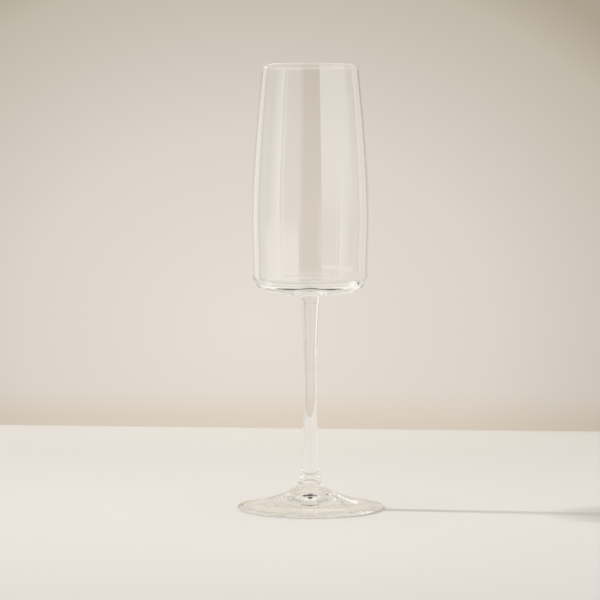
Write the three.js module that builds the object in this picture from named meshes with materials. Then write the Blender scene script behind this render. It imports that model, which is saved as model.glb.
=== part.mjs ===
// Champagne flute: a blown bowl, a drawn stem and a pressed foot, fused in line.
// Millimetres, +Z up. The origin is the centre of the ring that the foot rests on.

import * as THREE from 'three';

// ---- Driving dimensions ----

const RIM_HEIGHT = 225;

// Bowl, outside
const BASE_HEIGHT = 109.9; // flat underside of the bowl, where the stem is fused on
const BASE_FLAT_RADIUS = 18.8;
const HEEL_RADIUS = 29.05; // where the rounded bottom corner turns into the side
const HEEL_HEIGHT = 119;
const WIDEST_RADIUS = 29.75;
const WIDEST_HEIGHT = 147.5;
const RIM_RADIUS = 24.35;
const RIM_SLOPE = 0.111; // how fast the side closes in at the rim

// Bowl, inside
const FLOOR_HEIGHT = 115.5; // flat inner floor, over a thick base
const FLOOR_FLAT_RADIUS = 25;
const INNER_HEEL_RISE = 3.5; // height of the inner corner, over the inner floor
const BUTTON_RADIUS = 7.8; // low round button on the inner floor, right above the stem
const BUTTON_TOP_RADIUS = 6.6;
const BUTTON_RISE = 0.8;
const WALL = 1.25; // wall thickness up to the widest place
const RIM_WALL = 1; // the wall thins out towards the rim

// Reach of the handles that bend the side of the bowl, below and above its widest place
const LOWER_REACH = 8;
const UPPER_REACH = 22;

// Stem, as [radius, height], from the root that flares out under the bowl down to the shoulder
// that stands on the foot
const STEM_ROOT = [7.9, BASE_HEIGHT];
const STEM_COLLAR = [4.9, 107.6];
const STEM_SHANK = [
  [4.85, 105.7],
  [4.42, 103.8],
  [4.07, 97],
  [3.2, 78],
  [3.25, 63],
  [3.5, 45],
  [4.08, 27],
  [4.65, 19],
];
const STEM_SHOULDER = [6.6, 13];

// Foot
const FOOT_JOINT_HEIGHT = 11.6; // where the stem is fused to the foot
const FOOT_RADIUS = 36.8;
const FOOT_EDGE = 1.6; // thickness of the rounded edge
const FOOT_CONE = [
  [7.2, 10.9],
  [8.7, 10.1],
  [12, 8.4],
  [18, 6],
  [27, 3.5],
];
const REST_OUTER_RADIUS = 35.6; // flat ring that the glass stands on
const REST_INNER_RADIUS = 33;
const HOLLOW_HEIGHT = 4.6; // height of the hollow under the foot, at its centre
const HOLLOW_SHOULDER = [25, 2.1]; // the hollow's handle near the resting ring
const HOLLOW_FLAT_REACH = 14; // how far the hollow's top stays nearly level

// Facets
const BOWL_SIDES = 64;
const STEM_SIDES = 36;
const FOOT_SIDES = 64;
const CORNER_STEPS = 6;
const SIDE_STEPS = 8;
const EDGE_STEPS = 3;
const STEPS_PER_STATION = 2;

// Handle length of a round corner, as a part of the corner's size
const ROUND = 0.55;

// ---- Outlines: points of [radius, height], each from the axis round to the axis ----

function point([radius, height]) {
  return new THREE.Vector2(radius, height);
}

// The points of a curve between two places, shaped by its two handles, without its first point.
function curve(start, startHandle, endHandle, end, steps) {
  const bend = new THREE.CubicBezierCurve(point(start), point(startHandle), point(endHandle), point(end));
  return bend.getPoints(steps).slice(1);
}

// A round corner that leaves start level and reaches end upright.
function corner(start, end, steps) {
  const startHandle = [start[0] + ROUND * (end[0] - start[0]), start[1]];
  const endHandle = [end[0], end[1] - ROUND * (end[1] - start[1])];
  return curve(start, startHandle, endHandle, end, steps);
}

// A smooth line through a list of places.
function through(places) {
  const line = new THREE.SplineCurve(places.map(point));
  return line.getPoints(STEPS_PER_STATION * (places.length - 1));
}

// The side of the bowl from the heel by the widest place to the rim. The inner side stands in by
// the wall's thickness.
function bowlSide(heel, wall, rimWall, rimHeight) {
  const widestRadius = WIDEST_RADIUS - wall;
  const rimRadius = RIM_RADIUS - rimWall;
  const widest = [widestRadius, WIDEST_HEIGHT];
  const lower = curve(
    heel,
    [heel[0], heel[1] + LOWER_REACH],
    [widestRadius, WIDEST_HEIGHT - LOWER_REACH],
    widest,
    CORNER_STEPS,
  );
  const upper = curve(
    widest,
    [widestRadius, WIDEST_HEIGHT + UPPER_REACH],
    [rimRadius + RIM_SLOPE * UPPER_REACH, rimHeight - UPPER_REACH],
    [rimRadius, rimHeight],
    SIDE_STEPS,
  );
  return [...lower, ...upper];
}

function bowlOutline() {
  const lip = RIM_WALL / 2; // the rim is fire-polished to a half round
  const lipHeight = RIM_HEIGHT - lip;
  const baseFlat = [BASE_FLAT_RADIUS, BASE_HEIGHT];
  const floorFlat = [FLOOR_FLAT_RADIUS, FLOOR_HEIGHT];
  const outerHeel = [HEEL_RADIUS, HEEL_HEIGHT];
  const innerHeel = [HEEL_RADIUS - WALL, FLOOR_HEIGHT + INNER_HEEL_RISE];
  const buttonTop = [BUTTON_TOP_RADIUS, FLOOR_HEIGHT + BUTTON_RISE];
  const buttonFoot = [BUTTON_RADIUS, FLOOR_HEIGHT];
  const outside = [
    point([0, BASE_HEIGHT]),
    point(baseFlat),
    ...corner(baseFlat, outerHeel, CORNER_STEPS),
    ...bowlSide(outerHeel, 0, 0, lipHeight),
  ];
  const inside = [
    point([0, FLOOR_HEIGHT + BUTTON_RISE]),
    point(buttonTop),
    ...corner(buttonTop, buttonFoot, EDGE_STEPS),
    point(floorFlat),
    ...corner(floorFlat, innerHeel, CORNER_STEPS),
    ...bowlSide(innerHeel, WALL, RIM_WALL, lipHeight),
  ];
  const lipTop = point([RIM_RADIUS - lip, RIM_HEIGHT]);
  return [...outside, lipTop, ...inside.reverse()];
}

function stemOutline() {
  return [
    point([0, BASE_HEIGHT]),
    point(STEM_ROOT),
    ...corner(STEM_ROOT, STEM_COLLAR, EDGE_STEPS),
    ...through([STEM_COLLAR, ...STEM_SHANK, STEM_SHOULDER]).slice(1),
    point([STEM_SHOULDER[0], FOOT_JOINT_HEIGHT]),
    point([0, FOOT_JOINT_HEIGHT]),
  ].reverse();
}

function footOutline() {
  const joint = [STEM_SHOULDER[0], FOOT_JOINT_HEIGHT];
  const edgeTop = [REST_OUTER_RADIUS, FOOT_EDGE];
  const edgeMiddle = [FOOT_RADIUS, FOOT_EDGE / 2];
  const restOuter = [REST_OUTER_RADIUS, 0];
  const restInner = [REST_INNER_RADIUS, 0];
  const hollowTop = [0, HOLLOW_HEIGHT];
  const hollowReach = [HOLLOW_FLAT_REACH, HOLLOW_HEIGHT];
  return [
    point(hollowTop),
    ...curve(hollowTop, hollowReach, HOLLOW_SHOULDER, restInner, SIDE_STEPS),
    point(restOuter),
    ...corner(restOuter, edgeMiddle, EDGE_STEPS),
    ...corner(edgeTop, edgeMiddle, EDGE_STEPS).reverse().slice(1),
    ...through([edgeTop, ...FOOT_CONE.toReversed(), joint]),
    point([0, FOOT_JOINT_HEIGHT]),
  ];
}

// ---- Pieces ----

function glass() {
  return new THREE.MeshStandardMaterial({
    color: 0xf4f3ee,
    roughness: 0.03,
    metalness: 0,
    transparent: true,
    opacity: 0.35,
  });
}

// One turned piece of glass. A lathe turns about Y, so the piece is tipped up to stand along Z.
function turned(name, outline, sides) {
  const geometry = new THREE.LatheGeometry(outline, sides);
  geometry.rotateX(Math.PI / 2);
  const piece = new THREE.Mesh(geometry, glass());
  piece.name = name;
  return piece;
}

const group = new THREE.Group();
group.add(turned('bowl', bowlOutline(), BOWL_SIDES));
group.add(turned('stem', stemOutline(), STEM_SIDES));
group.add(turned('foot', footOutline(), FOOT_SIDES));

export default group;
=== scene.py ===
"""Champagne flute in clear glass: the looks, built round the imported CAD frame.

Metres, +Z up, the foot resting on z = 0. The bowl, the stem and the foot are each turned from an
outline of (radius, height) points, and each rides on the one body, "root".
"""

import math

import bmesh
import bpy
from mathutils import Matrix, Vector


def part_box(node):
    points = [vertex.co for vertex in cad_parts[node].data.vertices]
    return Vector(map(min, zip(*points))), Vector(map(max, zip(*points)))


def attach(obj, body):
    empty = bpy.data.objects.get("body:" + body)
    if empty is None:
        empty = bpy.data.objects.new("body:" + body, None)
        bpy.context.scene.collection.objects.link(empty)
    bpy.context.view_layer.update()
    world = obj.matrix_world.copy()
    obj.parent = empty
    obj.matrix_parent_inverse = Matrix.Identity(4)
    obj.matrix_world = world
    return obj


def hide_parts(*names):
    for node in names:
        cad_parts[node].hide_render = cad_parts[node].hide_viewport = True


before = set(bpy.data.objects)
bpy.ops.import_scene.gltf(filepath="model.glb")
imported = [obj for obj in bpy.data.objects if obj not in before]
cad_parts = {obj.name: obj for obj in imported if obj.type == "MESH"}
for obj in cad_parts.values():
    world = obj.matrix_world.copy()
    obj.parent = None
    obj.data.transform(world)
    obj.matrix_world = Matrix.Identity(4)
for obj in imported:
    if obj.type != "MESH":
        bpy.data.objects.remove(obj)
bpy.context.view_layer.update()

MM = 0.001
SIDES = 192  # turns of the lathe, the same on every piece so that the fused faces match

BOWL_LOW, BOWL_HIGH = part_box("bowl")
STEM_LOW, STEM_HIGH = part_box("stem")
FOOT_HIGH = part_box("foot")[1]

# Places that the CAD pieces share
RIM_HEIGHT = BOWL_HIGH.z
WIDEST_RADIUS = BOWL_HIGH.x
BASE_HEIGHT = BOWL_LOW.z  # underside of the bowl, fused to the stem
ROOT_RADIUS = STEM_HIGH.x  # of the fused face between bowl and stem
JOINT_HEIGHT = STEM_LOW.z  # stem fused to foot
FOOT_RADIUS = FOOT_HIGH.x

# Bowl
HEEL_RADIUS = WIDEST_RADIUS - 0.7 * MM
HEEL_HEIGHT = BASE_HEIGHT + 9.1 * MM
BASE_FLAT_RADIUS = 18.8 * MM
WIDEST_HEIGHT = 147.5 * MM
RIM_RADIUS = 24.35 * MM
RIM_SLOPE = 0.111
LOWER_REACH = 8 * MM
UPPER_REACH = 22 * MM
FLOOR_HEIGHT = BASE_HEIGHT + 5.6 * MM
FLOOR_FLAT_RADIUS = 25 * MM
INNER_HEEL_RISE = 3.5 * MM  # height of the inner corner, over the inner floor
BUTTON_RADIUS = 7.8 * MM  # low round button on the inner floor, right above the stem
BUTTON_TOP_RADIUS = 6.6 * MM
BUTTON_RISE = 0.8 * MM
WALL = 1.25 * MM
RIM_WALL = 1 * MM

# Stem: radius and height in millimetres, from under the root down to the shoulder
STEM_COLLAR = (4.9 * MM, 107.6 * MM)
STEM_SHANK_MM = (
    (4.85, 105.7),
    (4.42, 103.8),
    (4.07, 97),
    (3.2, 78),
    (3.25, 63),
    (3.5, 45),
    (4.08, 27),
    (4.65, 19),
)
STEM_SHOULDER = (6.6 * MM, 13 * MM)

# Foot: radius and height in millimetres, from the stem joint down the cone
FOOT_CONE_MM = ((7.2, 10.9), (8.7, 10.1), (12, 8.4), (18, 6), (27, 3.5))
FOOT_EDGE = 1.6 * MM
REST_OUTER_RADIUS = 35.6 * MM
REST_INNER_RADIUS = 33 * MM
HOLLOW_HEIGHT = 4.6 * MM
HOLLOW_SHOULDER = (25 * MM, 2.1 * MM)
HOLLOW_FLAT_REACH = 14 * MM

ROUND = 0.55  # handle length of a round corner, as a part of its size
MERGE_DISTANCE = 0.001 * MM
SHARP_ANGLE = math.radians(35)

# Points along each stretch of an outline
CORNER_STEPS = 20
LOWER_SIDE_STEPS = 16
UPPER_SIDE_STEPS = 36
LIP_STEPS = 8
BUTTON_STEPS = 6
ROOT_STEPS = 12
HOLLOW_STEPS = 30
EDGE_STEPS = 8
STEPS_PER_STATION = 9

# The wall behind the glass
WALL_DISTANCE = 0.319
WALL_TURN = math.radians(5)


# ---- Camera ----

def make_camera():
    """A long lens, a little above the rim, level with the middle of the glass."""
    aside = -5.2 * MM
    distance = 2.41
    height = 0.349
    aim_height = 0.10618
    camera = bpy.data.cameras.new("camera")
    camera.sensor_width = 36
    camera.lens = 287.4
    camera.clip_end = 30
    holder = bpy.data.objects.new("camera", camera)
    bpy.context.scene.collection.objects.link(holder)
    holder.location = (aside, -distance, height)
    towards = Vector((aside, 0, aim_height)) - holder.location
    holder.rotation_euler = towards.to_track_quat("-Z", "Y").to_euler()
    bpy.context.scene.camera = holder


# ---- Outlines: lists of (radius, height) ----

def curve(start, start_handle, end_handle, end, steps):
    """Points along a cubic curve, without its first point."""
    places = []
    for step in range(1, steps + 1):
        t = step / steps
        s = 1 - t
        weights = (s**3, 3 * s * s * t, 3 * s * t * t, t**3)
        handles = (start, start_handle, end_handle, end)
        radius = sum(w * h[0] for w, h in zip(weights, handles))
        height = sum(w * h[1] for w, h in zip(weights, handles))
        places.append((radius, height))
    return places


def corner(start, end, steps):
    """A round corner that leaves start level and reaches end upright, without its first point."""
    start_handle = (start[0] + ROUND * (end[0] - start[0]), start[1])
    end_handle = (end[0], end[1] - ROUND * (end[1] - start[1]))
    return curve(start, start_handle, end_handle, end, steps)


def through(places):
    """A smooth line through the places, without its first point."""
    line = []
    last = len(places) - 1
    for index in range(last):
        before, start, end, after = (places[min(max(index + k, 0), last)] for k in (-1, 0, 1, 2))
        start_handle = tuple(s + (e - b) / 6 for b, s, e in zip(before, start, end))
        end_handle = tuple(e - (a - s) / 6 for s, e, a in zip(start, end, after))
        line += curve(start, start_handle, end_handle, end, STEPS_PER_STATION)
    return line


def in_metres(places_mm):
    return [(radius * MM, height * MM) for radius, height in places_mm]


def bowl_side(heel, wall, rim_wall, rim_height):
    """The side of the bowl from the heel by the widest place to the rim, inset by the wall."""
    widest = (WIDEST_RADIUS - wall, WIDEST_HEIGHT)
    rim = (RIM_RADIUS - rim_wall, rim_height)
    heel_handle = (heel[0], heel[1] + LOWER_REACH)
    below_widest = (widest[0], WIDEST_HEIGHT - LOWER_REACH)
    above_widest = (widest[0], WIDEST_HEIGHT + UPPER_REACH)
    rim_handle = (rim[0] + RIM_SLOPE * UPPER_REACH, rim_height - UPPER_REACH)
    lower = curve(heel, heel_handle, below_widest, widest, LOWER_SIDE_STEPS)
    upper = curve(widest, above_widest, rim_handle, rim, UPPER_SIDE_STEPS)
    return lower + upper


def bowl_outline():
    lip = RIM_WALL / 2
    base_flat = (BASE_FLAT_RADIUS, BASE_HEIGHT)
    floor_flat = (FLOOR_FLAT_RADIUS, FLOOR_HEIGHT)
    outer_heel = (HEEL_RADIUS, HEEL_HEIGHT)
    inner_heel = (HEEL_RADIUS - WALL, FLOOR_HEIGHT + INNER_HEEL_RISE)
    outside = [(0, BASE_HEIGHT), (ROOT_RADIUS, BASE_HEIGHT), base_flat]
    outside += corner(base_flat, outer_heel, CORNER_STEPS)
    outside += bowl_side(outer_heel, 0, 0, RIM_HEIGHT - lip)
    button_top = (BUTTON_TOP_RADIUS, FLOOR_HEIGHT + BUTTON_RISE)
    inside = [(0, FLOOR_HEIGHT + BUTTON_RISE), button_top]
    inside += corner(button_top, (BUTTON_RADIUS, FLOOR_HEIGHT), BUTTON_STEPS)
    inside += [floor_flat]
    inside += corner(floor_flat, inner_heel, CORNER_STEPS)
    inside += bowl_side(inner_heel, WALL, RIM_WALL, RIM_HEIGHT - lip)
    rounded_lip = []
    for step in range(1, LIP_STEPS):
        angle = math.pi * step / LIP_STEPS
        radius = RIM_RADIUS - lip + lip * math.cos(angle)
        rounded_lip.append((radius, RIM_HEIGHT - lip + lip * math.sin(angle)))
    return outside + rounded_lip + inside[::-1]


def stem_outline():
    root = (ROOT_RADIUS, BASE_HEIGHT)
    shank = [STEM_COLLAR, *in_metres(STEM_SHANK_MM), STEM_SHOULDER]
    line = [(0, BASE_HEIGHT), root]
    line += corner(root, STEM_COLLAR, ROOT_STEPS)
    line += through(shank)
    line += [(STEM_SHOULDER[0], JOINT_HEIGHT), (0, JOINT_HEIGHT)]
    return line


def foot_outline():
    joint = (STEM_SHOULDER[0], JOINT_HEIGHT)
    edge_top = (REST_OUTER_RADIUS, FOOT_EDGE)
    edge_middle = (FOOT_RADIUS, FOOT_EDGE / 2)
    rest_outer = (REST_OUTER_RADIUS, 0)
    rest_inner = (REST_INNER_RADIUS, 0)
    hollow_top = (0, HOLLOW_HEIGHT)
    hollow_reach = (HOLLOW_FLAT_REACH, HOLLOW_HEIGHT)
    line = [hollow_top]
    line += curve(hollow_top, hollow_reach, HOLLOW_SHOULDER, rest_inner, HOLLOW_STEPS)
    line += [rest_outer]
    line += corner(rest_outer, edge_middle, EDGE_STEPS)
    line += corner(edge_top, edge_middle, EDGE_STEPS)[-2::-1]
    line += [edge_top]
    line += through([edge_top, *reversed(in_metres(FOOT_CONE_MM)), joint])
    line += [(0, JOINT_HEIGHT)]
    return line


# ---- Solids ----

def turned(name, outline, glass, fused_heights):
    """Spins an outline once round +Z into a closed piece. Its faces at the fused heights, inside
    the neighbour's edge, are taken by the joint's own material, which doesn't show."""
    joint_slot = 1
    shape = bmesh.new()
    places = [shape.verts.new((radius, 0, height)) for radius, height in outline]
    strips = [shape.edges.new(pair) for pair in zip(places, places[1:])]
    bmesh.ops.spin(
        shape,
        geom=places + strips,
        cent=(0, 0, 0),
        axis=(0, 0, 1),
        dvec=(0, 0, 0),
        angle=2 * math.pi,
        steps=SIDES,
        use_merge=True,
    )
    bmesh.ops.remove_doubles(shape, verts=shape.verts, dist=MERGE_DISTANCE)
    bmesh.ops.recalc_face_normals(shape, faces=shape.faces)
    for face in shape.faces:
        face.smooth = True
        for fused_height, fused_radius in fused_heights:
            level = all(abs(v.co.z - fused_height) < MERGE_DISTANCE for v in face.verts)
            inside = all(v.co.xy.length < fused_radius + MERGE_DISTANCE for v in face.verts)
            if level and inside:
                face.material_index = joint_slot
    for edge in shape.edges:
        edge.smooth = edge.calc_face_angle(0) < SHARP_ANGLE
    mesh = bpy.data.meshes.new(name)
    shape.to_mesh(mesh)
    shape.free()
    mesh.materials.append(glass)
    mesh.materials.append(FUSED_JOINT)
    piece = bpy.data.objects.new(name, mesh)
    bpy.context.scene.collection.objects.link(piece)
    return piece


# ---- Materials ----

def node_group(name, inputs, outputs):
    """An empty shader group with named inputs of (name, value) and outputs of (name, type)."""
    group = bpy.data.node_groups.new(name, "ShaderNodeTree")
    for label, value in inputs:
        socket = group.interface.new_socket(label, in_out="INPUT", socket_type="NodeSocketFloat")
        socket.default_value = value
    for label, kind in outputs:
        group.interface.new_socket(label, in_out="OUTPUT", socket_type=kind)
    return group, group.nodes.new("NodeGroupInput"), group.nodes.new("NodeGroupOutput")


def flow_group():
    """The slow swell that hot glass keeps, drawn out up the piece, as a normal."""
    group, given, result = node_group(
        "glass_flow",
        [("Swells Across", 60), ("Swells Up", 12), ("Depth", 0.00002)],
        [("Normal", "NodeSocketVector")],
    )
    nodes = group.nodes
    links = group.links
    place = nodes.new("ShaderNodeTexCoord")
    spacing = nodes.new("ShaderNodeCombineXYZ")
    stretch = nodes.new("ShaderNodeVectorMath")
    stretch.operation = "MULTIPLY"
    swell = nodes.new("ShaderNodeTexNoise")
    swell.inputs["Scale"].default_value = 1
    swell.inputs["Detail"].default_value = 1
    bump = nodes.new("ShaderNodeBump")
    links.new(given.outputs["Swells Across"], spacing.inputs["X"])
    links.new(given.outputs["Swells Across"], spacing.inputs["Y"])
    links.new(given.outputs["Swells Up"], spacing.inputs["Z"])
    links.new(place.outputs["Object"], stretch.inputs[0])
    links.new(spacing.outputs["Vector"], stretch.inputs[1])
    links.new(stretch.outputs["Vector"], swell.inputs["Vector"])
    links.new(swell.outputs["Fac"], bump.inputs["Height"])
    links.new(given.outputs["Depth"], bump.inputs["Distance"])
    links.new(bump.outputs["Normal"], result.inputs["Normal"])
    return group


def handling_group():
    """Faint marks of washing and handling, as a roughness."""
    group, given, result = node_group(
        "handling_marks",
        [("Mark Size", 45), ("Clean Roughness", 0), ("Marked Roughness", 0.04)],
        [("Roughness", "NodeSocketFloat")],
    )
    nodes = group.nodes
    links = group.links
    place = nodes.new("ShaderNodeTexCoord")
    marks = nodes.new("ShaderNodeTexNoise")
    marks.inputs["Detail"].default_value = 4
    marks.inputs["Roughness"].default_value = 0.6
    spread = nodes.new("ShaderNodeMapRange")
    spread.interpolation_type = "SMOOTHSTEP"
    spread.inputs["From Min"].default_value = 0.52
    spread.inputs["From Max"].default_value = 0.75
    links.new(place.outputs["Object"], marks.inputs["Vector"])
    links.new(given.outputs["Mark Size"], marks.inputs["Scale"])
    links.new(marks.outputs["Fac"], spread.inputs["Value"])
    links.new(given.outputs["Clean Roughness"], spread.inputs["To Min"])
    links.new(given.outputs["Marked Roughness"], spread.inputs["To Max"])
    links.new(spread.outputs["Result"], result.inputs["Roughness"])
    return group


def placed(material, group, values):
    """Puts a group in a material with its own values."""
    node = material.node_tree.nodes.new("ShaderNodeGroup")
    node.node_tree = group
    for label, value in values.items():
        node.inputs[label].default_value = value
    return node


def clear_glass(name, tint, flow, marks):
    """Clear glass in a faint tint, with its flow lines and its handling marks."""
    material = bpy.data.materials.new(name)
    material.use_nodes = True
    nodes = material.node_tree.nodes
    links = material.node_tree.links
    shader = nodes["Principled BSDF"]
    shader.inputs["Base Color"].default_value = (*tint, 1)
    shader.inputs["Metallic"].default_value = 0
    shader.inputs["IOR"].default_value = 1.51
    shader.inputs["Transmission Weight"].default_value = 1
    swell = placed(material, FLOW, flow)
    wear = placed(material, HANDLING, marks)
    links.new(swell.outputs["Normal"], shader.inputs["Normal"])
    links.new(wear.outputs["Roughness"], shader.inputs["Roughness"])
    return material


def fused_joint():
    """Inside the glass, where two pieces were fused hot, there is no surface to see."""
    material = bpy.data.materials.new("fused_joint")
    material.use_nodes = True
    shader = material.node_tree.nodes["Principled BSDF"]
    shader.inputs["Alpha"].default_value = 0
    return material


# ---- Studio ----

def plain_material(name):
    """An empty material, with its nodes, its links and its output."""
    material = bpy.data.materials.new(name)
    material.use_nodes = True
    nodes = material.node_tree.nodes
    nodes.clear()
    return material, nodes, material.node_tree.links, nodes.new("ShaderNodeOutputMaterial")


def colour_ramp(nodes, share, stops):
    """Colours along a share from 0 to 1, from stops of (place, colour)."""
    ramp = nodes.new("ShaderNodeValToRGB")
    ramp.color_ramp.interpolation = "LINEAR"
    elements = ramp.color_ramp.elements
    elements[0].position = stops[0][0]
    elements[0].color = (*stops[0][1], 1)
    elements[1].position = stops[-1][0]
    elements[1].color = (*stops[-1][1], 1)
    for place, colour in stops[1:-1]:
        elements.new(place).color = (*colour, 1)
    nodes.id_data.links.new(share, ramp.inputs["Fac"])
    return ramp.outputs["Color"]


def share_between(nodes, value, start, end, smooth=True, least=0, most=1):
    """Goes smoothly or evenly from the least to the most, as the value goes from start to end."""
    share = nodes.new("ShaderNodeMapRange")
    share.interpolation_type = "SMOOTHSTEP" if smooth else "LINEAR"
    share.inputs["From Min"].default_value = start
    share.inputs["From Max"].default_value = end
    share.inputs["To Min"].default_value = least
    share.inputs["To Max"].default_value = most
    nodes.id_data.links.new(value, share.inputs["Value"])
    return share.outputs["Result"]


def blended(nodes, share, first, second, blend="MIX"):
    """The first colour, mixed with or multiplied by the second as far as the share says. The
    second may be a fixed colour."""
    links = nodes.id_data.links
    mix = nodes.new("ShaderNodeMix")
    mix.data_type = "RGBA"
    mix.blend_type = blend
    links.new(share, mix.inputs["Factor"])
    links.new(first, mix.inputs["A"])
    if isinstance(second, tuple):
        mix.inputs["B"].default_value = (*second, 1)
    else:
        links.new(second, mix.inputs["B"])
    return mix.outputs["Result"]


def mirrored_light(nodes):
    """1 for light that has been mirrored on its way, otherwise 0."""
    path = nodes.new("ShaderNodeLightPath")
    mirrored = nodes.new("ShaderNodeMath")
    mirrored.operation = "GREATER_THAN"
    mirrored.inputs[1].default_value = 0.5
    nodes.id_data.links.new(path.outputs["Glossy Depth"], mirrored.inputs[0])
    return mirrored.outputs["Value"]


def see_through(nodes, surface, where):
    """Lets light pass a stage surface where the mask says, to the room beyond."""
    links = nodes.id_data.links
    clear = nodes.new("ShaderNodeBsdfTransparent")
    either = nodes.new("ShaderNodeMixShader")
    links.new(where, either.inputs["Fac"])
    links.new(surface, either.inputs[1])
    links.new(clear.outputs["BSDF"], either.inputs[2])
    return either.outputs["Shader"]


def floor_material(name, glow, mirrored_passes):
    """A pale floor, with painted light: a little lighter by the wall, as if the wall lit it, and a
    painted falloff that dims it far out. A painted glow inside the foot's hollow stands in for the
    light that the foot gathers there, and mirrored light can pass the floor to the room beyond."""
    open_floor = (0.825, 0.815, 0.795)
    # painted light: the floor is lighter by the wall, as if the wall lit it
    floor_lit_by_wall = (0.87, 0.865, 0.85)
    # painted falloff of light: the floor is dimmer far out
    painted_falloff = (0.87, 0.87, 0.87)
    by_wall_start = WALL_DISTANCE - 0.12
    by_wall_end = WALL_DISTANCE + 0.02
    dimming_start = 0.1
    dimming_end = 0.35
    glow_start = REST_OUTER_RADIUS
    glow_end = REST_INNER_RADIUS - 5 * MM

    material, nodes, links, output = plain_material(name)
    place = nodes.new("ShaderNodeTexCoord")
    apart = nodes.new("ShaderNodeSeparateXYZ")
    links.new(place.outputs["Object"], apart.inputs["Vector"])
    from_middle = nodes.new("ShaderNodeVectorMath")
    from_middle.operation = "LENGTH"
    links.new(place.outputs["Object"], from_middle.inputs[0])
    distance = from_middle.outputs["Value"]

    by_wall = share_between(nodes, apart.outputs["Y"], by_wall_start, by_wall_end)
    shade = colour_ramp(nodes, by_wall, [(0, open_floor), (1, floor_lit_by_wall)])
    far_out = share_between(nodes, distance, dimming_start, dimming_end, smooth=False)
    shade = blended(nodes, far_out, shade, painted_falloff, "MULTIPLY")
    # painted glow inside the foot's hollow, in place of the light that the foot gathers there
    under_foot = share_between(nodes, distance, glow_start, glow_end, most=glow)

    paint = nodes.new("ShaderNodeBsdfPrincipled")
    paint.inputs["Roughness"].default_value = 0.75
    paint.inputs["Specular IOR Level"].default_value = 0.2
    paint.inputs["Emission Color"].default_value = (1, 0.97, 0.91, 1)
    links.new(under_foot, paint.inputs["Emission Strength"])
    links.new(shade, paint.inputs["Base Color"])
    surface = paint.outputs["BSDF"]
    if mirrored_passes:
        surface = see_through(nodes, surface, mirrored_light(nodes))
    links.new(surface, output.inputs["Surface"])
    return material


def pool_of_light(nodes, place):
    """1 in the middle of the pool of light on the wall, down to 0 at its edge."""
    centre_x = -0.03
    centre_z = 0.06
    narrowness = 2.31
    flatness = 2.88
    centred = nodes.new("ShaderNodeMapping")
    centred.vector_type = "POINT"
    centred.inputs["Location"].default_value = (-centre_x * narrowness, 0, -centre_z * flatness)
    centred.inputs["Scale"].default_value = (narrowness, 0, flatness)
    pool = nodes.new("ShaderNodeTexGradient")
    pool.gradient_type = "SPHERICAL"
    nodes.id_data.links.new(place, centred.inputs["Vector"])
    nodes.id_data.links.new(centred.outputs["Vector"], pool.inputs["Vector"])
    return pool.outputs["Fac"]


def wall_material():
    """A softly lit wall, brightest low down behind the glass, with a shaded foot and a light upper
    part. It fades out to the sides and is clear from behind, so that the room shows there."""
    wall_shades = [
        (0, (0.36, 0.32, 0.26)),
        (0.326, (0.412, 0.363, 0.28)),
        (0.41, (0.54, 0.488, 0.407)),
        (0.553, (0.629, 0.578, 0.505)),
        (0.684, (0.712, 0.656, 0.579)),
        (1, (0.8, 0.738, 0.658)),
    ]
    upper_wall = (0.78, 0.73, 0.66)
    upper_start = 0.36
    upper_end = 0.44
    foot_shading = (0.95, 0.9, 0.85)
    foot_height = 0.025
    fade_start = 0.19
    fade_end = 0.26

    material, nodes, links, output = plain_material("lit_wall")
    place = nodes.new("ShaderNodeTexCoord")
    apart = nodes.new("ShaderNodeSeparateXYZ")
    links.new(place.outputs["Object"], apart.inputs["Vector"])
    height = apart.outputs["Z"]

    shade = colour_ramp(nodes, pool_of_light(nodes, place.outputs["Object"]), wall_shades)
    high_up = share_between(nodes, height, upper_start, upper_end, smooth=False)
    shade = blended(nodes, high_up, shade, upper_wall)
    low_down = share_between(nodes, height, foot_height, 0)
    shade = blended(nodes, low_down, shade, foot_shading, "MULTIPLY")

    aside = nodes.new("ShaderNodeMath")
    aside.operation = "ABSOLUTE"
    links.new(apart.outputs["X"], aside.inputs[0])
    side = nodes.new("ShaderNodeNewGeometry")
    gone = nodes.new("ShaderNodeMath")
    gone.operation = "MAXIMUM"
    links.new(share_between(nodes, aside.outputs["Value"], fade_start, fade_end), gone.inputs[0])
    links.new(side.outputs["Backfacing"], gone.inputs[1])

    glow = nodes.new("ShaderNodeEmission")
    links.new(shade, glow.inputs["Color"])
    surface = see_through(nodes, glow.outputs["Emission"], gone.outputs["Value"])
    links.new(surface, output.inputs["Surface"])
    return material


def dark_panel_material(name, level):
    """A dark sheet of painted shade on the wall, clear from behind like the wall."""
    material, nodes, links, output = plain_material(name)
    glow = nodes.new("ShaderNodeEmission")
    glow.inputs["Color"].default_value = (level, level, level, 1)
    side = nodes.new("ShaderNodeNewGeometry")
    surface = see_through(nodes, glow.outputs["Emission"], side.outputs["Backfacing"])
    links.new(surface, output.inputs["Surface"])
    return material


def stage_piece(name, shape, material):
    """Puts a finished shape on the stage, as a piece that isn't part of the flute."""
    mesh = bpy.data.meshes.new(name)
    shape.to_mesh(mesh)
    shape.free()
    mesh.materials.append(material)
    piece = bpy.data.objects.new(name, mesh)
    bpy.context.scene.collection.objects.link(piece)


def wall_panel(name, half_width, heights, forward, material):
    """An upright panel on the wall's line, standing forward of it towards the glass. Its heights
    are those of its lower and upper edges."""
    lower_edge, upper_edge = heights
    shape = bmesh.new()
    ends = []
    for x in (-half_width, half_width):
        y = WALL_DISTANCE - forward - x * math.tan(WALL_TURN)
        ends.append(shape.verts.new((x, y, lower_edge)))
    foot_line = shape.edges.new(ends)
    raised = bmesh.ops.extrude_edge_only(shape, edges=[foot_line])["geom"]
    top = [item for item in raised if isinstance(item, bmesh.types.BMVert)]
    bmesh.ops.translate(shape, verts=top, vec=(0, 0, upper_edge - lower_edge))
    shape.normal_update()
    for face in shape.faces:
        if face.normal.y > 0:
            face.normal_flip()
    stage_piece(name, shape, material)


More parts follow.
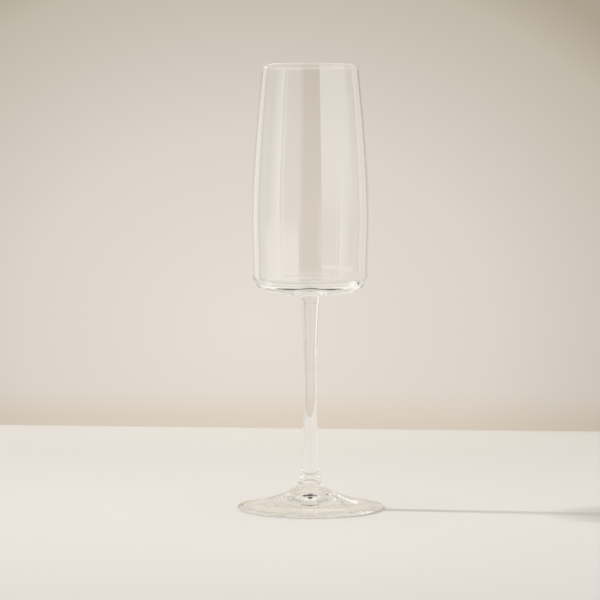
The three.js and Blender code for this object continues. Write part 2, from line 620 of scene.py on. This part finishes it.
def make_floor():
    """A round floor under the glass, and a wide ring of floor round that."""
    floor_gap = 0.1 * MM  # glass only ever touches a table at a few points
    near_radius = 0.42
    far_radius = 1.8
    turns = 96
    # strength of the painted glow inside the foot's hollow
    hollow_glow = 0.28
    shape = bmesh.new()
    bmesh.ops.create_circle(shape, cap_ends=True, segments=turns, radius=near_radius)
    bmesh.ops.translate(shape, verts=shape.verts, vec=(0, 0, -floor_gap))
    stage_piece("floor", shape, floor_material("pale_floor", glow=hollow_glow, mirrored_passes=False))

    shape = bmesh.new()
    bmesh.ops.create_circle(shape, segments=turns, radius=near_radius)
    outer = bmesh.ops.extrude_edge_only(shape, edges=shape.edges[:])["geom"]
    moved = [item for item in outer if isinstance(item, bmesh.types.BMVert)]
    widening = far_radius / near_radius
    bmesh.ops.translate(shape, verts=shape.verts, vec=(0, 0, -floor_gap))
    bmesh.ops.scale(shape, verts=moved, vec=(widening, widening, 1))
    bmesh.ops.recalc_face_normals(shape, faces=shape.faces)
    stage_piece("far_floor", shape, floor_material("far_floor", glow=0, mirrored_passes=True))


def make_wall():
    """The lit wall, and dark sheets of painted shade high up on it that the foot and the base catch.
    """
    black = dark_panel_material("black_panel", level=0.01)
    dim = dark_panel_material("dim_panel", level=0.12)
    wall_panel("wall", half_width=0.3, heights=(0, 0.9), forward=0, material=wall_material())
    # dark sheets of painted shade, just forward of the wall, that the foot and the base catch
    wall_panel("dim_shade_band", half_width=0.14, heights=(0.285, 0.37), forward=1 * MM, material=dim)
    wall_panel("black_shade_patch", half_width=0.06, heights=(0.29, 0.365), forward=2 * MM, material=black)
    wall_panel("black_shade_strip", half_width=0.06, heights=(0.435, 0.88), forward=2 * MM, material=black)


# The room's light by bearing in degrees: 0 towards the camera, 90 to its left
SOFT = (0.72, 0.68, 0.63)
BACK = (0.84, 0.79, 0.72)
FRONT = (0.26, 0.135, 0.085)
LOW_FRONT = (0.13, 0.05, 0.03)
GAP = (0.1, 0.09, 0.08)
LEFT_BACK = (1.07, 1.03, 0.96)
LEFT_FAR = (0.96, 0.92, 0.86)
RIGHT_BACK = (0.82, 0.78, 0.72)
RIGHT_FAR = (0.9, 0.86, 0.8)
WINDOW = (0.68, 0.66, 0.63)
WINDOW_LINE = (2.4, 2.3, 2.2)
WINDOW_BRIGHT = (1.6, 1.57, 1.5)
WINDOW_END = (0.62, 0.6, 0.57)
LOW_WINDOW = (1.65, 1.6, 1.52)
OVERHEAD = (0.95, 0.92, 0.87)
RIGHT_SIDE = [
    (-180, BACK),
    (-150, RIGHT_FAR),
    (-140, RIGHT_BACK),
    (-118, SOFT),
    (-25, SOFT),
]
LEFT_SIDE = [
    (105, SOFT),
    (119.5, SOFT),
    (120.5, GAP),
    (124.5, GAP),
    (125.5, LEFT_BACK),
    (155, LEFT_FAR),
    (170, BACK),
    (180, BACK),
]
HIGH_FRONT = [
    (-20, FRONT),
    (14, FRONT),
    (16, WINDOW),
    (56, WINDOW),
    (56.5, WINDOW_LINE),
    (57.5, WINDOW_LINE),
    (58, WINDOW),
    (64, WINDOW),
    (65, WINDOW_LINE),
    (66.5, WINDOW_LINE),
    (67, WINDOW_BRIGHT),
    (69, WINDOW_BRIGHT),
    (94, WINDOW_END),
]
DEEP_FRONT = [
    (-20, LOW_FRONT),
    (22.5, LOW_FRONT),
    (23.5, LOW_WINDOW),
    (94, LOW_WINDOW),
]


def bearing_share(nodes, apart):
    """The bearing round the room, from 0 at -180 degrees to 1 at 180 degrees."""
    links = nodes.id_data.links
    bearing = nodes.new("ShaderNodeMath")
    bearing.operation = "ARCTAN2"
    for index, axis in enumerate("XY"):
        turned_round = nodes.new("ShaderNodeMath")
        turned_round.operation = "MULTIPLY"
        turned_round.inputs[1].default_value = -1
        links.new(apart.outputs[axis], turned_round.inputs[0])
        links.new(turned_round.outputs["Value"], bearing.inputs[index])
    return share_between(nodes, bearing.outputs["Value"], -math.pi, math.pi, smooth=False)


def ring_of_light(nodes, share, stops):
    """Colours round the room, from stops of (bearing in degrees, colour)."""
    return colour_ramp(nodes, share, [((degrees + 180) / 360, colour) for degrees, colour in stops])


def make_world():
    """A room: a bright window on the left, dim behind the camera, soft elsewhere and light
    overhead. The floor gets a little less of it than the glass shows."""
    low_start = math.sin(math.radians(-2))
    low_end = math.sin(math.radians(-12))
    overhead_for_glass = (0.3, 0.5)
    overhead_for_floor = (0.5, 0.85)
    strength_for_floor = 0.81

    world = bpy.data.worlds.new("studio")
    bpy.context.scene.world = world
    world.use_nodes = True
    nodes = world.node_tree.nodes
    links = world.node_tree.links
    nodes.clear()
    output = nodes.new("ShaderNodeOutputWorld")
    sky = nodes.new("ShaderNodeBackground")
    place = nodes.new("ShaderNodeTexCoord")
    apart = nodes.new("ShaderNodeSeparateXYZ")
    links.new(place.outputs["Generated"], apart.inputs["Vector"])
    rise = apart.outputs["Z"]
    path = nodes.new("ShaderNodeLightPath")
    for_floor = path.outputs["Is Diffuse Ray"]

    share = bearing_share(nodes, apart)
    high_ring = ring_of_light(nodes, share, RIGHT_SIDE + HIGH_FRONT + LEFT_SIDE)
    low_ring = ring_of_light(nodes, share, RIGHT_SIDE + DEEP_FRONT + LEFT_SIDE)
    ring = blended(nodes, share_between(nodes, rise, low_start, low_end), high_ring, low_ring)
    overhead = nodes.new("ShaderNodeMix")
    links.new(for_floor, overhead.inputs["Factor"])
    links.new(share_between(nodes, rise, *overhead_for_glass), overhead.inputs["A"])
    links.new(share_between(nodes, rise, *overhead_for_floor), overhead.inputs["B"])
    colour = blended(nodes, overhead.outputs["Result"], ring, OVERHEAD)
    strength = share_between(nodes, for_floor, 0, 1, smooth=False, least=1, most=strength_for_floor)
    links.new(colour, sky.inputs["Color"])
    links.new(strength, sky.inputs["Strength"])
    links.new(sky.outputs["Background"], output.inputs["Surface"])


def make_key():
    """The lamp that throws the shadow: from the left, a little behind the glass."""
    bearing = math.radians(98.2)
    height_angle = math.radians(35.7)
    distance = 5
    lamp = bpy.data.lights.new("key", "AREA")
    lamp.shape = "DISK"
    lamp.size = 0.4
    lamp.energy = 145
    lamp.color = (1, 0.975, 0.945)
    lamp.cycles.is_caustics_light = True
    holder = bpy.data.objects.new("key", lamp)
    bpy.context.scene.collection.objects.link(holder)
    away = Vector((-math.sin(bearing), -math.cos(bearing), 0)) * math.cos(height_angle)
    away.z = math.sin(height_angle)
    target = Vector((0, 0, RIM_HEIGHT / 2))
    holder.location = target + away * distance
    holder.rotation_euler = (-away).to_track_quat("-Z", "Y").to_euler()


def set_light_paths():
    """Plain colours, and enough mirrorings for light that is trapped in the wall and the foot."""
    glass_bounces = 600
    floor_bounces = 6
    scene = bpy.context.scene
    scene.view_settings.view_transform = "Standard"
    scene.cycles.max_bounces = glass_bounces
    scene.cycles.transmission_bounces = glass_bounces
    scene.cycles.glossy_bounces = glass_bounces
    scene.cycles.transparent_max_bounces = glass_bounces
    scene.cycles.diffuse_bounces = floor_bounces


# ---- The flute ----

make_camera()
make_floor()
make_wall()
make_world()
make_key()
set_light_paths()

FLOW = flow_group()
HANDLING = handling_group()
FUSED_JOINT = fused_joint()

bowl = turned(
    "flute_bowl",
    bowl_outline(),
    clear_glass(
        "bowl_glass",
        tint=(0.995, 0.995, 0.99),
        flow={"Swells Across": 60, "Swells Up": 10, "Depth": 0.00002},
        marks={"Mark Size": 45, "Clean Roughness": 0, "Marked Roughness": 0.03},
    ),
    [(BASE_HEIGHT, ROOT_RADIUS)],
)
stem = turned(
    "flute_stem",
    stem_outline(),
    clear_glass(
        "stem_glass",
        tint=(1, 1, 0.995),
        flow={"Swells Across": 200, "Swells Up": 15, "Depth": 0.00001},
        marks={"Mark Size": 60, "Clean Roughness": 0, "Marked Roughness": 0.02},
    ),
    [(BASE_HEIGHT, ROOT_RADIUS), (JOINT_HEIGHT, STEM_SHOULDER[0])],
)
foot = turned(
    "flute_foot",
    foot_outline(),
    clear_glass(
        "foot_glass",
        tint=(0.985, 0.978, 0.95),
        flow={"Swells Across": 70, "Swells Up": 70, "Depth": 0.00002},
        marks={"Mark Size": 50, "Clean Roughness": 0, "Marked Roughness": 0.04},
    ),
    [(JOINT_HEIGHT, STEM_SHOULDER[0])],
)

for piece, node, slot in (
    (bowl, "bowl", "bowl_glass"),
    (stem, "stem", "stem_glass"),
    (foot, "foot", "foot_glass"),
):
    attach(piece, "root")
    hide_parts(node)
    piece.cycles.is_caustics_caster = True  # the glass bends the key's light on its way down

bpy.data.objects["floor"].cycles.is_caustics_receiver = True
